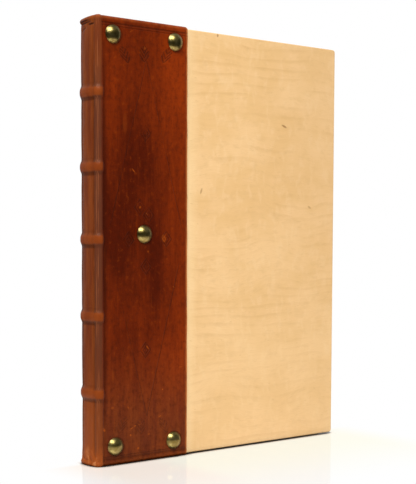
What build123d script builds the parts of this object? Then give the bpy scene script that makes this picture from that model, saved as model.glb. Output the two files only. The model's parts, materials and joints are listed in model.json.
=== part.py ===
"""A tall thin book in an old style: wooden boards, a leather spine that laps the boards, five raised bands
and domed brass nails. It stands on its tail edge, spine towards -X, front board towards -Y."""

import os
from math import asin, cos, degrees, radians, sin, sqrt, tan

from build123d import *

os.makedirs("parts", exist_ok=True)

# Driving sizes, in millimetres and degrees.
board_height = 304.0
board_width = 222.5
board_thickness = 4.5
board_corner_radius = 2.5
board_edge_radius = 0.8
book_thickness = 20.0
leather_thickness = 1.0
leather_width = 73.7  # how far the leather laps each board, from the joint
leather_bevel = 0.4
turn_in_thickness = 0.7  # pared leather over the head and tail edges of a board
turn_in_inner_thickness = 0.5
turn_in_depth = 15.0
joint_gap = 0.2  # each side of the joint line, so that a board can swing
spine_reach = 3.6  # how far the back stands out behind the joint
back_round = 8.0  # degrees that each half of the back turns
fit_clearance = 0.05
page_clearance = 0.3

# The pages.
page_fore_square = 4.0  # the boards overhang the pages by this at the fore-edge
fore_edge_hollow = 0.6

# The raised bands and the cords under them.
band_level_shares = [0.164, 0.338, 0.510, 0.671, 0.836]
band_width = 8.0
band_height = 1.4
band_edge_radius = 1.3
cord_radius = 0.8

# The cord ends laced into each board, and the pegs that hold them.
slip_length = 18.0
slip_width = 3.4
slip_depth = 1.6
peg_radius = 1.3
peg_taper = 0.2

# The caps of leather at the ends of the spine, and the endbands behind them.
cap_height = 2.4
cap_depth = 2.6
cap_flare = 0.7
cap_rise = 0.3
endband_radius = 0.9
endband_span = 15.0

# The domed nails.
nail_radius = 6.6
nail_rise = 4.6
nail_shell = 0.8
nail_rim = 0.4
shank_radius = 0.8
shank_length = 5.0
shank_point = 1.2
nail_spot_shares = [(0.124, 0.963), (0.841, 0.963), (0.476, 0.522), (0.139, 0.042), (0.825, 0.0385)]

# The pastedowns.
pastedown_thickness = 0.3
pastedown_margin = 3.0

# The blind lines tooled in the leather of the boards: a border, and a tall lozenge within it.
tool_width = 0.8
tool_depth = 0.3
border_inset = 4.0
border_side_inset = 2.0
border_joint_inset = 0.8
lozenge_width_share = 0.9
lozenge_height_share = 0.81

# Worked-out sizes.
half_thickness = book_thickness / 2
overall_height = board_height + 2 * turn_in_thickness
board_outer = half_thickness - leather_thickness
board_inner = board_outer - board_thickness
page_half = board_inner - turn_in_inner_thickness - page_clearance
page_base = cap_height + 2 * endband_radius
page_height = overall_height - 2 * page_base
band_levels = [overall_height * share for share in band_level_shares]
overrun = book_thickness

# The pieces are drawn from the joint line; they are then moved so that the origin is bottom centre.
back_edge = joint_gap + spine_reach + band_height
centre_x = (board_width - back_edge) / 2


def keep(piece, label):
    """Moves a finished piece to the book's own frame and writes it."""
    placed = piece.moved(Location((-centre_x, 0, 0)))
    placed.label = label
    export_step(placed, f"parts/{label}.step")


def back_line(inset, reach_inset, level):
    """The open line round the spine from one joint to the other: shoulder, back, shoulder.
    inset draws its ends in from the leather's face, and reach_inset its back."""
    half = half_thickness - inset
    reach = spine_reach - reach_inset
    turn = radians(back_round)
    lean = tan(turn / 2)
    shoulder = (reach - half * lean) / (cos(turn) - (1 - sin(turn)) * lean)
    back = (half - shoulder * (1 - sin(turn))) / sin(turn)
    with BuildLine(Plane.XY.offset(level)) as line:
        first = JernArc((-joint_gap, -half), (-1, 0), shoulder, back_round - 90)
        middle = JernArc(first @ 1, first % 1, back, -2 * back_round)
        JernArc(middle @ 1, middle % 1, shoulder, back_round - 90)
    return line.line


def back_face(inset, level):
    """The area that the back line closes with the joint line."""
    with BuildSketch(Plane.XY.offset(level)) as face:
        with BuildLine():
            add(back_line(inset, inset, 0))
            Line((-joint_gap, half_thickness - inset), (-joint_gap, inset - half_thickness))
        make_face()
    return face.sketch


def across_joint(inset, level):
    """The plane square to the back line where it starts: X outwards, Y up the book."""
    return Plane(origin=(-joint_gap, inset - half_thickness, level), x_dir=(0, -1, 0), z_dir=(-1, 0, 0))


def front_plane(depth):
    """A plane facing the reader at this depth behind the book's middle: X to the fore-edge, Y up."""
    return Plane(origin=(0, -depth, 0), x_dir=(1, 0, 0), z_dir=(0, -1, 0))


# The twin cords that the pages are sewn on, one pair for each raised band.
cord_inset = leather_thickness + cord_radius + fit_clearance
cord_reach_inset = cord_inset - band_height
cord_spacing = 2 * (cord_radius + fit_clearance)


def cord_pair(level):
    with BuildPart() as cords:
        with BuildSketch(across_joint(cord_inset, level)):
            with GridLocations(0, cord_spacing, 1, 2):
                Circle(cord_radius)
        sweep(path=back_line(cord_inset, cord_reach_inset, level))
    return cords.part


def cord_room(level):
    with BuildPart() as room:
        with BuildSketch(across_joint(cord_inset, level)):
            SlotCenterToCenter(cord_spacing, 2 * (cord_radius + fit_clearance), rotation=90)
        sweep(path=back_line(cord_inset, cord_reach_inset, level))
    return room.part


cord_rooms = [cord_room(level) for level in band_levels]
for number, level in enumerate(band_levels):
    keep(cord_pair(level), f"raised_cord_{number + 1}")

# The pages: one block, backed so that its spine spreads into shoulders beside the boards.
page_fore = board_width - page_fore_square
with BuildPart() as text_block:
    with BuildSketch(Plane.XY.offset(page_base)):
        with BuildLine():
            foot = Line((-joint_gap, -page_half), (page_fore, -page_half))
            hollow = ThreePointArc(foot @ 1, (page_fore - fore_edge_hollow, 0), (page_fore, page_half))
            Polyline(hollow @ 1, (-joint_gap, page_half), foot @ 0)
        make_face()
        add(back_face(leather_thickness, 0))
    extrude(amount=page_height)
    for room in cord_rooms:
        add(room, mode=Mode.SUBTRACT)
keep(text_block.part, "text_block")

# The endbands: a wound core lying on the pages at head and tail, behind the leather cap.
endband_inset = leather_thickness + endband_radius + fit_clearance
page_top = page_base + page_height


def endband(level):
    with BuildPart() as band:
        with BuildSketch(across_joint(endband_inset, level)):
            Circle(endband_radius)
        sweep(path=back_line(endband_inset, endband_inset, level))
        with Locations((-overrun / 2, 0, level)):
            Box(overrun, endband_span, overrun, mode=Mode.INTERSECT)
    return band.part


keep(endband(page_top + endband_radius), "head_endband")
keep(endband(page_base - endband_radius), "tail_endband")

# The leather over the spine, moulded over the cords and rolled into a cap at each end.
cap_top = overall_height + cap_rise
with BuildPart() as spine_leather:
    wall_bottom = cap_height / 2
    wall_height = cap_top - cap_height
    add(extrude(back_face(0, wall_bottom), amount=wall_height, mode=Mode.PRIVATE))
    add(extrude(back_face(leather_thickness, wall_bottom), amount=wall_height, mode=Mode.PRIVATE), mode=Mode.SUBTRACT)
    for level in band_levels:
        with BuildSketch(across_joint(0, level)):
            Rectangle(2 * band_height, band_width)
            outer = vertices().group_by(Axis.Y)[0]
            fillet(outer, band_edge_radius)
        sweep(path=back_line(0, 0, level))
    for level in (cap_height / 2, cap_top - cap_height / 2):
        with BuildSketch(across_joint(0, level)):
            with Locations((cap_flare - cap_depth / 2, 0)):
                Ellipse(cap_depth / 2, cap_height / 2)
        sweep(path=back_line(0, 0, level))
    add(extrude(back_face(leather_thickness, page_base), amount=page_height, mode=Mode.PRIVATE), mode=Mode.SUBTRACT)
    for room in cord_rooms:
        add(room, mode=Mode.SUBTRACT)
    with Locations((-overrun / 2 - joint_gap, 0, 0)):
        Box(overrun, book_thickness, 3 * board_height, mode=Mode.INTERSECT)
keep(spine_leather.part, "spine_leather")


def keep_both(piece, label):
    """Writes a piece of the front board, and its mirror image on the back board."""
    keep(piece, f"front_{label}")
    keep(piece.mirror(Plane.XZ), f"back_{label}")


# The cord ends laced into a board: along a channel in its outer face, then down a hole, held by a peg.
def slip_shape(level, clearance):
    hole_radius = slip_width / 2
    with BuildPart() as slip:
        with BuildSketch(front_plane(board_outer)):
            with Locations((joint_gap, level)):
                Rectangle(slip_length - hole_radius, slip_width + 2 * clearance, align=(Align.MIN, Align.CENTER))
        extrude(amount=-slip_depth - clearance)
        with BuildSketch(front_plane(board_outer)):
            with Locations((slip_length - hole_radius, level)):
                Circle(hole_radius + clearance)
        extrude(amount=-board_thickness)
    return slip.part


def peg_shape(level, clearance):
    with BuildPart() as peg:
        for depth, radius in ((board_outer, peg_radius - peg_taper), (board_inner, peg_radius)):
            with BuildSketch(front_plane(depth)):
                with Locations((slip_length - slip_width / 2, level)):
                    Circle(radius + clearance)
        loft()
    return peg.part


for number, level in enumerate(band_levels):
    with BuildPart() as laced_slip:
        add(slip_shape(level, 0))
        add(peg_shape(level, fit_clearance), mode=Mode.SUBTRACT)
    keep_both(laced_slip.part, f"laced_slip_{number + 1}")
    keep_both(peg_shape(level, 0), f"lacing_peg_{number + 1}")


# The domed nails: a hollow brass cap on a pointed shank.
nail_spots = [(across * leather_width, up * overall_height) for across, up in nail_spot_shares]


def dome_arc(radius, rise, level):
    """Half of a shallow dome in the nail's profile, from its top, on the axis, out to its rim."""
    curve = (radius**2 + rise**2) / (2 * rise)
    return JernArc((0, level - rise), (1, 0), curve, degrees(asin(radius / curve)))


def nail_shape(across, up):
    bore = nail_radius - nail_shell
    with BuildPart() as nail:
        with BuildSketch(Plane(origin=(across, -half_thickness, up), x_dir=(1, 0, 0), z_dir=(0, 0, 1))):
            with BuildLine():
                outside = dome_arc(nail_radius, nail_rise - nail_rim, -nail_rim)
                inside = dome_arc(bore, nail_rise - nail_shell, 0)
                Polyline(outside @ 1, (nail_radius, 0), inside @ 1)
                Line(inside @ 0, outside @ 0)
            make_face()
            with BuildLine():
                head = (0, -nail_rise + nail_shell / 2)
                tip = (0, shank_length)
                Polyline(head, (shank_radius, head[1]), (shank_radius, shank_length - shank_point), tip, close=True)
            make_face()
        revolve(axis=Axis((across, -half_thickness, up), (0, 1, 0)))
    return nail.part


def nail_hole(across, up):
    with BuildPart() as hole:
        with BuildSketch(front_plane(half_thickness)):
            with Locations((across, up)):
                Circle(shank_radius + fit_clearance)
        extrude(amount=-shank_length - fit_clearance)
    return hole.part


nail_holes = [nail_hole(across, up) for across, up in nail_spots]
for number, (across, up) in enumerate(nail_spots):
    keep_both(nail_shape(across, up), f"nail_{number + 1}")

# The bare wooden board, with its edges rounded and its channels and holes cut.
with BuildPart() as board_blank:
    with BuildSketch(front_plane(board_inner)):
        with Locations((joint_gap, turn_in_thickness)):
            Rectangle(board_width - joint_gap, board_height, align=(Align.MIN, Align.MIN))
        fillet(vertices().group_by(Axis.X)[-1], board_corner_radius)
    extrude(amount=board_thickness)
    spine_edge = faces().sort_by(Axis.X)[0].edges()
    rims = edges().group_by(Axis.Y)[0] + edges().group_by(Axis.Y)[-1]
    fillet([rim for rim in rims if rim not in spine_edge], board_edge_radius)

with BuildPart() as board:
    add(board_blank.part)
    for level in band_levels:
        add(slip_shape(level, fit_clearance), mode=Mode.SUBTRACT)
    for hole in nail_holes:
        add(hole, mode=Mode.SUBTRACT)
keep_both(board.part, "board")

# The leather on the board: bevelled at its free edge and turned in over the head and tail.
inner_reach = board_inner - turn_in_inner_thickness


def border_panel(inset, mode):
    """The panel inside the tooled border, drawn in by inset."""
    left = border_joint_inset + inset
    bottom = border_inset + inset
    width = leather_width - border_side_inset - inset - left
    with Locations((left, bottom)):
        Rectangle(width, overall_height - 2 * bottom, align=(Align.MIN, Align.MIN), mode=mode)


def lozenge(inset, mode):
    """The tall lozenge in the middle of the panel, drawn in by inset."""
    half_width = leather_width * lozenge_width_share / 2
    half_height = overall_height * lozenge_height_share / 2
    scale = 1 - inset * sqrt(half_width**2 + half_height**2) / (half_width * half_height)
    points = [(-half_width, 0), (0, -half_height), (half_width, 0), (0, half_height)]
    with Locations((leather_width / 2, overall_height / 2)):
        Polygon(*[(scale * across, scale * up) for across, up in points], align=None, mode=mode)


with BuildPart() as board_leather:
    with BuildSketch(front_plane(inner_reach)):
        with Locations((joint_gap, 0)):
            Rectangle(leather_width - joint_gap, overall_height, align=(Align.MIN, Align.MIN))
    extrude(amount=half_thickness - inner_reach)
    outer_edges = edges().group_by(Axis.Y)[0]
    fillet(outer_edges.filter_by(Axis.X), board_edge_radius + turn_in_thickness)
    free_edge = edges().group_by(Axis.Y)[0].filter_by(Axis.Z).sort_by(Axis.X)[-1]
    chamfer(free_edge, leather_bevel)
    with BuildSketch(front_plane(inner_reach)):
        with Locations((joint_gap, turn_in_thickness + turn_in_depth)):
            flap_gap = board_height - 2 * turn_in_depth
            Rectangle(leather_width, flap_gap, align=(Align.MIN, Align.MIN))
    extrude(amount=turn_in_inner_thickness, mode=Mode.SUBTRACT)
    add(board_blank.part, mode=Mode.SUBTRACT)
    with BuildSketch(front_plane(half_thickness)):
        for tooled in (border_panel, lozenge):
            tooled(0, Mode.ADD)
            tooled(tool_width, Mode.SUBTRACT)
    extrude(amount=-tool_depth, mode=Mode.SUBTRACT)
    for hole in nail_holes:
        add(hole, mode=Mode.SUBTRACT)
keep_both(board_leather.part, "leather")

# The pastedown: a sheet on the inner face of the board, cut round the turned-in leather.
with BuildPart() as pastedown:
    with BuildSketch(front_plane(board_inner)):
        with Locations((joint_gap, turn_in_thickness + pastedown_margin)):
            sheet_width = board_width - joint_gap - pastedown_margin
            sheet_height = board_height - 2 * pastedown_margin
            Rectangle(sheet_width, sheet_height, align=(Align.MIN, Align.MIN))
        notch_height = turn_in_thickness + turn_in_depth + fit_clearance
        for level, side in ((0, Align.MIN), (overall_height, Align.MAX)):
            with Locations((0, level)):
                Rectangle(leather_width + fit_clearance, notch_height, align=(Align.MIN, side), mode=Mode.SUBTRACT)
    extrude(amount=-pastedown_thickness)
keep_both(pastedown.part, "pastedown")
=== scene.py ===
# %% [markdown]
# # A quarter-leather book with wooden boards
#
# The book stands on its tail, as on a table in a studio. Its construction comes from the frame: the boards,
# the pages, the cords and the nails are there at their real size. This lesson dresses it. The leather gets
# its folds and tooling, the wood its figure, the pages their leaves and the nails their brass.
#
# All lengths below are written in millimetres and turned to metres by one function.

# %% Load the frame and keep its box
import json
import math
import random
from functools import partial
from types import SimpleNamespace

import bpy
import numpy as np
from mathutils import Matrix, Vector, noise


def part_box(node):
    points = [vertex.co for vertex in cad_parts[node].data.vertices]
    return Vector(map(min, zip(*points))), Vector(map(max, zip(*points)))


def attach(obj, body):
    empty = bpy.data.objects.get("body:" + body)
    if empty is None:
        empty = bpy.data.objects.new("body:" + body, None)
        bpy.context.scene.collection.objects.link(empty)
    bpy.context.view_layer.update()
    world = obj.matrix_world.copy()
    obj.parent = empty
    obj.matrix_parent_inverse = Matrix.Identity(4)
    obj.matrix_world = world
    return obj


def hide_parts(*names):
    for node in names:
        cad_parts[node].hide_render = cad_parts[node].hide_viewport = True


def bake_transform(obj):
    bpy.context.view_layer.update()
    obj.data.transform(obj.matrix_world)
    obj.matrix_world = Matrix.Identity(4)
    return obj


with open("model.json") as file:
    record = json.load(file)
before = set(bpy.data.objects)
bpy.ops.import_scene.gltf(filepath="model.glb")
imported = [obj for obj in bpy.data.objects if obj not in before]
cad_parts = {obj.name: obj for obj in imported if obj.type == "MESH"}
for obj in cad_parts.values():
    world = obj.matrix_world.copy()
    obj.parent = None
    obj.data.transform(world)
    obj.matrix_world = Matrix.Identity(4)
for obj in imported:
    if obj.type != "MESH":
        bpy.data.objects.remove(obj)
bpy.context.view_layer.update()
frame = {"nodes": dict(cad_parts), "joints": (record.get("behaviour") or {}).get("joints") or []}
nodes = frame["nodes"]
sides = ("front", "back")


def mm(length):
    """Millimetres to metres."""
    return length / 1000


# %% [markdown]
# ## Places on the book
#
# What is added has to sit on what carries it, so the places are read from the frame and not typed in. The
# joint is the line at which a board swings, and the middle of each raised band is where its cords are.

# %% Read the places
joints = {joint["child"]: Vector(joint["pos_m"]) for joint in frame["joints"]}
joint_x = joints["front_cover"].x
half_thickness = abs(joints["front_cover"].y)
leather_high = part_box("front_leather")[1]
leather_width = leather_high.x - joint_x
book_height = leather_high.z
turn_in_inner = -leather_high.y
pages_low, pages_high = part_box("text_block")
band_count = 5
nail_count = 5
band_levels = []
for number in range(band_count):
    low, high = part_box(f"raised_cord_{number + 1}")
    band_levels.append((low.z + high.z) / 2)
print("leather over", round(leather_width * 1000, 1), "mm of each board; bands at",
      [round(level * 1000) for level in band_levels], "mm")

# %% [markdown]
# ## The camera
#
# The photograph looks at the front board from the left, about 40 degrees round from straight on, and a
# little down, so that the upright edges draw together towards the floor. A long lens keeps that slight. Its
# focal length is given in pixels of a picture 416 wide and 484 high, and Blender's lens follows from the
# longer side. The picture was cut a little off the lens's middle, which is what the shift stands for.

# %% Set the camera
focal_pixels = 1172
picture_height_pixels = 484
sensor = 36
lens_middle_pixels = 315.9
camera_turn = math.radians(-39.2)
camera_dip = math.radians(4.0)
camera_roll = math.radians(0.18)
camera_place = Vector((mm(-447.45), mm(-662.6), mm(159.7))) + Vector((joint_x, -half_thickness, 0))


def add_camera():
    level = Vector((-math.sin(camera_turn), math.cos(camera_turn), 0))
    look = level * math.cos(camera_dip) - Vector((0, 0, math.sin(camera_dip)))
    right = Vector((math.cos(camera_turn), math.sin(camera_turn), 0))
    up = right.cross(look)
    rolled_right = right * math.cos(camera_roll) + up * math.sin(camera_roll)
    rolled_up = up * math.cos(camera_roll) - right * math.sin(camera_roll)
    data = bpy.data.cameras.new("camera")
    data.sensor_width = sensor
    data.lens = focal_pixels / picture_height_pixels * sensor
    data.shift_y = lens_middle_pixels / picture_height_pixels - 0.5
    data.clip_start = 0.01
    camera = bpy.data.objects.new("camera", data)
    bpy.context.scene.collection.objects.link(camera)
    axes = Matrix((rolled_right, rolled_up, -look)).transposed().to_4x4()
    camera.matrix_world = Matrix.Translation(camera_place) @ axes
    return camera


camera = add_camera()
bpy.context.scene.camera = camera
print("lens", round(camera.data.lens, 1), "mm")

# %% [markdown]
# ## Helpers for materials
#
# A colour is written as it looks on a screen and turned to the linear value that the shader wants. Each
# node is added by one function, which also sets its values and makes its links. What a material needs again
# and again is a chain of sums, and coats of colour over each other, so two short loops do that.

# %% Define the helpers for materials
def colour(code):
    """A colour such as #7a2e12 as linear red, green, blue and full cover."""
    parts = [int(code[place:place + 2], 16) / 255 for place in (1, 3, 5)]
    linear = [part / 12.92 if part <= 0.04045 else ((part + 0.055) / 1.055) ** 2.4 for part in parts]
    return (*linear, 1)


def fill(node, values):
    """Fills a node's inputs: another node or one of its outputs is linked, anything else is set."""
    for place, value in values.items():
        if isinstance(value, bpy.types.Node):
            value = next(output for output in value.outputs if output.enabled)
        if isinstance(value, bpy.types.NodeSocket):
            node.id_data.links.new(value, node.inputs[place])
        else:
            node.inputs[place].default_value = value


def add_node(tree, kind, *values, named=None, **settings):
    """Adds a node. Settings are its own options; values go into the inputs that it shows, in their order."""
    node = tree.nodes.new("ShaderNode" + kind)
    for name, setting in settings.items():
        setattr(node, name, setting)
    shown = [place for place, socket in enumerate(node.inputs) if socket.enabled]
    fill(node, {**dict(zip(shown, values)), **(named or {})})
    return node


def new_material(name):
    """A material, the function that adds nodes to it, and its shader."""
    material = bpy.data.materials.new(name)
    material.use_nodes = True
    tree = material.node_tree
    return material, partial(add_node, tree), tree.nodes["Principled BSDF"]


smooth = {"interpolation_type": "SMOOTHSTEP"}  # lets a Map Range node rise softly between its limits


def chain(add, operation, first, *others):
    """Puts several values together by the same sum, one after the other."""
    for value in others:
        first = add("Math", first, value, operation=operation)
    return first


def lay(add, base, *coats):
    """Lays coats of colour over a base, one after the other, each as thick as its mask."""
    for mask, code in coats:
        base = add("Mix", mask, base, colour(code), data_type="RGBA")
    return base


def coordinates(add, which="Object"):
    """Coordinates in metres, whole and one by one."""
    whole = add("TexCoord").outputs[which]
    return whole, *add("SeparateXYZ", whole).outputs


def grain(add, place, size_mm, stretch=(1, 1, 1), detail=3.0, roughness=0.5, distortion=0.0):
    """Noise whose marks are about size_mm across, drawn out along an axis by a stretch above 1."""
    scale = [1 / mm(size_mm * factor) for factor in stretch]
    scaled = add("VectorMath", place, scale, operation="MULTIPLY")
    return add("TexNoise", named={"Vector": scaled, "Scale": 1.0, "Detail": detail, "Roughness": roughness,
                                  "Distortion": distortion})


print("helpers ready")

# %% [markdown]
# ## The shape of the leather
#
# On the real book one skin of calf is pasted over the spine and laps a third of each board. It was drawn on
# damp, so it follows the cords as raised bands, sinks a little in the joints, and rolls into a soft cap at
# head and tail. Carving it by hand would never keep to the bands, and cloth simulation would be hard to steer.
# A skin like that is best made as a grid that is laid over a section of the book: one way of
# the grid runs round the spine and across the board, the other runs up the book and turns in at both ends.
# The two halves meet down the middle of the spine.

# %% Describe the section of the spine
joint_gap = mm(0.2)
spine_reach = mm(3.6)
back_turn = math.radians(8)


def spine_radii():
    """Radii of the shoulder and of the flat back, from how far the back stands out."""
    lean = math.tan(back_turn / 2)
    rounding = math.cos(back_turn) - (1 - math.sin(back_turn)) * lean
    shoulder = (spine_reach - half_thickness * lean) / rounding
    back = (half_thickness - shoulder * (1 - math.sin(back_turn))) / math.sin(back_turn)
    return shoulder, back


shoulder_radius, back_radius = spine_radii()
back_length = back_radius * back_turn
shoulder_length = shoulder_radius * (math.pi / 2 - back_turn)
joint_at = back_length + shoulder_length + joint_gap
skin_length = joint_at + leather_width


def section(along):
    """Place and outward direction on the front half, a length along from the middle of the spine."""
    if along <= back_length:
        turn = along / back_radius
        middle = Vector((joint_x - joint_gap - spine_reach + back_radius, 0))
        outward = Vector((-math.cos(turn), -math.sin(turn)))
        return middle + outward * back_radius, outward
    if along <= back_length + shoulder_length:
        turn = back_turn + (along - back_length) / shoulder_radius
        middle = Vector((joint_x - joint_gap, shoulder_radius - half_thickness))
        outward = Vector((-math.cos(turn), -math.sin(turn)))
        return middle + outward * shoulder_radius, outward
    return Vector((joint_x + along - joint_at, -half_thickness)), Vector((0, -1))


print("shoulder radius", round(shoulder_radius * 1000, 2), "mm and back radius",
      round(back_radius * 1000, 1), "mm")

# %% [markdown]
# The relief is a sum of soft forms, each with a size of its own: the bands, the pillows between them, the
# bead along the shoulder, the crease in the joint, the flare of the caps, the sunk leather round each nail,
# and the slow unevenness of a hand-pasted skin.

# %% Describe the relief
band_rise = mm(1.4)
band_flat = mm(0.7)  # half the flat top of a band
band_foot = mm(5.0)  # half its width at the foot
band_end = mm(2.6)  # where a band dies out on the board
pillow_rise = mm(0.35)
# Ridges and grooves along the shoulder: place from the joint, half width and height.
shoulder_lines = [(-0.85, 0.5, 0.10), (-2.2, 0.7, -0.10), (-3.6, 0.5, 0.12), (-5.2, 1.0, -0.20)]
# Folds of the damp leather at the ends of the spine: from and to a place round the spine and up from the
# end of the book, half width and depth. Minus is towards the back board, and below the head.
head_folds = [(-9.0, -2.9, 2.0, -1.9, 0.60, 0.95), (-8.0, -4.3, 3.8, -3.5, 0.55, 0.70),
              (0.9, -5.4, 7.0, -5.1, 0.80, 0.80), (-7.8, -9.5, -0.9, -6.8, 0.70, 0.35)]
foot_folds = [(-8.0, 6.0, -1.0, 2.5, 0.7, 0.45), (1.0, 7.0, 5.0, 2.0, 0.7, 0.50),
              (7.5, 8.0, 9.5, 1.0, 0.6, 0.50)]
crease_depth = mm(0.3)
edge_fall = mm(0.65)  # the free edge is pared down to the board
cap_flare = mm(0.85)
foot_flare = mm(1.5)
cap_rise = mm(0.35)
cap_fall = mm(1.3)  # how much lower the head cap is towards the back board
board_lift = mm(0.35)  # the boards' leather clears the table by this
border_inset = mm(4.0)
border_side_inset = mm(2.0)
border_joint_inset = mm(0.8)
tool_width = mm(0.8)
nail_places = []
for number in range(nail_count):
    low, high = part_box(f"front_nail_{number + 1}")
    nail_places.append(((low.x + high.x) / 2 - joint_x, (low.z + high.z) / 2))


def soft_step(value, low, high):
    share = min(max((value - low) / (high - low), 0), 1)
    return share * share * (3 - 2 * share)


def bump_at(value, middle, half_width):
    return math.exp(-(((value - middle) / half_width) ** 2))


def band_height(along, up):
    rise = 0
    for level in band_levels:
        away = abs(up - level)
        if away < band_foot:
            rise = max(rise, 1 - soft_step(away, band_flat, band_foot))
    return band_rise * rise * (1 - soft_step(along, joint_at - mm(1.6), joint_at + band_end))


def panel_height(along, up):
    """The leather swells between two bands and sinks beside them."""
    edges = [mm(3), *band_levels, book_height - mm(3)]
    for low, high in zip(edges, edges[1:]):
        if low < up < high:
            share = (up - low) / (high - low)
            swell = math.sin(math.pi * share) ** 0.6
            return pillow_rise * (swell - 0.5) * (1 - soft_step(along, joint_at - mm(3), joint_at))
    return 0


def fold_depth(around, above, folds):
    """Depth of the folds at a place round the spine and up from an end of the book."""
    deep = 0
    for start, start_up, stop, stop_up, half_width, depth in folds:
        way = Vector((mm(stop - start), mm(stop_up - start_up)))
        here = Vector((around - mm(start), above - mm(start_up)))
        share = min(max(here.dot(way) / way.length_squared, 0), 1)
        fade = min(share, 1 - share) * 3 + 0.4
        deep += mm(depth) * min(fade, 1) * bump_at((here - way * share).length, 0, mm(half_width))
    return deep


def cap_height(along, up, side):
    """The lip of the head cap, the flare of the foot and the folds by them."""
    around = -side * along
    on_spine = 1 - soft_step(along, joint_at - mm(2.5), joint_at + mm(0.5))
    lip_edge = book_height - mm(1.7) - (mm(2) - around) * 0.09
    frontwards = 1 - 0.5 * soft_step(around, mm(2), mm(7))
    lip = cap_flare * soft_step(up, lip_edge - mm(0.7), lip_edge + mm(0.4)) * frontwards
    spread = 1 - soft_step(up, mm(2), mm(15))
    rim = 1 - soft_step(up, mm(0.5), mm(4))
    foot = foot_flare * (0.45 * spread + 0.55 * rim)
    deep = fold_depth(around, up - book_height, head_folds) + fold_depth(around, up, foot_folds)
    return on_spine * (lip + foot - deep)


def board_relief(along, up):
    across = along - joint_at
    sunk = 0
    for nail_across, nail_up in nail_places:
        away = math.hypot(across - nail_across, up - nail_up)
        sunk -= mm(0.16) * (1 - soft_step(away, mm(6.0), mm(8.5)))
    left = abs(across - border_joint_inset - tool_width / 2)
    right = abs(across - leather_width + border_side_inset + tool_width / 2)
    ends = min(abs(up - border_inset - tool_width / 2), abs(up - book_height + border_inset + tool_width / 2))
    for away, depth in ((left, mm(0.06)), (right, mm(0.10)), (ends, mm(0.20))):
        if away < tool_width and across > 0:
            sunk -= depth * bump_at(away, 0, tool_width * 0.6)
    return sunk


def relief(along, up, side):
    """Height of the leather over the plain section, in metres. side is -1 in front and 1 behind."""
    band = band_height(along, up)
    height = band + panel_height(along, up) + cap_height(along, up, side) + board_relief(along, up)
    wavy = mm(0.2) * noise.noise(Vector((7.7, side * 3.0, up * 90)))
    beside_bands = 1 - band / band_rise
    for place, half_width, rise in shoulder_lines:
        height += mm(rise) * bump_at(along, joint_at + mm(place) + wavy, mm(half_width)) * beside_bands
    height -= crease_depth * bump_at(along, joint_at + mm(0.6), mm(0.7))
    height -= edge_fall * soft_step(along, skin_length - mm(1.6), skin_length)
    seat = Vector((along * side * 30, up * 14, 0))
    height += mm(0.16) * noise.noise(seat) + mm(0.07) * noise.noise(Vector((along * side, up, 0)) * 150)
    return height


print("nails at", [(round(a * 1000), round(b * 1000)) for a, b in nail_places])

# %% [markdown]
# A plain grid is added with enough rows and columns, and each of its points is then moved to its place.
# The rows crowd together at the bands and at the tooled border, where the relief is fine.

# %% Choose the rows and columns of the grid
def crowded(low, high, step, fine_places, fine_reach, fine_step):
    """Places from low to high, a step apart, and closer round the fine places."""
    places = [low]
    while places[-1] < high:
        close = any(abs(places[-1] - place) < fine_reach for place in fine_places)
        places.append(places[-1] + (fine_step if close else step))
    places[-1] = high
    if places[-1] - places[-2] < fine_step / 2:
        places.pop(-2)
    return places


edge_radius = mm(1.5)
flap_radius = mm(0.45)
flap_length = mm(15)
cap_depth = mm(2.1)
cap_flap = mm(2.6)
skin_thickness = mm(0.95)
turn_in_share = 0.66  # pared leather against full leather
joint_columns = [joint_at + mm(0.1) * step for step in (-3, -1.5, 0, 1.5, 3)]
columns = crowded(0, joint_columns[0] - mm(0.25), mm(0.8), [joint_at - mm(3)], mm(3.2), mm(0.3))
columns += joint_columns
border_columns = [joint_at + border_joint_inset + tool_width / 2,
                  skin_length - border_side_inset - tool_width / 2]
columns += crowded(joint_columns[-1] + mm(0.3), skin_length, mm(1.25), border_columns, mm(1.2), mm(0.3))
border_rows = [border_inset + tool_width / 2, book_height - border_inset - tool_width / 2]
outer_rows = crowded(edge_radius, book_height - edge_radius, mm(1.1), border_rows, mm(5), mm(0.4))


def end_path(along):
    """Depth below the leather's face and height over the book's end, from the face round to the flap."""
    board = soft_step(along, joint_at - mm(1.0), joint_at + mm(0.2))
    depth = cap_depth + (half_thickness - turn_in_inner - cap_depth) * board
    outer = cap_depth / 2 + (edge_radius - cap_depth / 2) * board
    inner = cap_depth / 2 + (flap_radius - cap_depth / 2) * board
    flap = cap_flap + (flap_length - cap_flap) * board
    path = []
    for step in (0.25, 0.5, 0.75, 1):
        turn = math.pi / 2 * step
        path.append((outer * (1 - math.cos(turn)), outer * math.sin(turn) - outer, 1 - 0.5 * step))
    for step in (0.33, 0.67, 1):
        path.append((outer + (depth - outer - inner) * step, 0, 0.4))
    for step in (0.33, 0.67, 1):
        turn = math.pi / 2 * step
        path.append((depth - inner * (1 - math.sin(turn)), inner * math.cos(turn) - inner, 0.2))
    for step in (0.2, 0.6, 1):
        path.append((depth, -inner - (flap - inner) * step, 0))
    return path


end_count = len(end_path(0))
print(len(columns), "columns and", len(outer_rows) + 2 * end_count, "rows")

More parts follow.
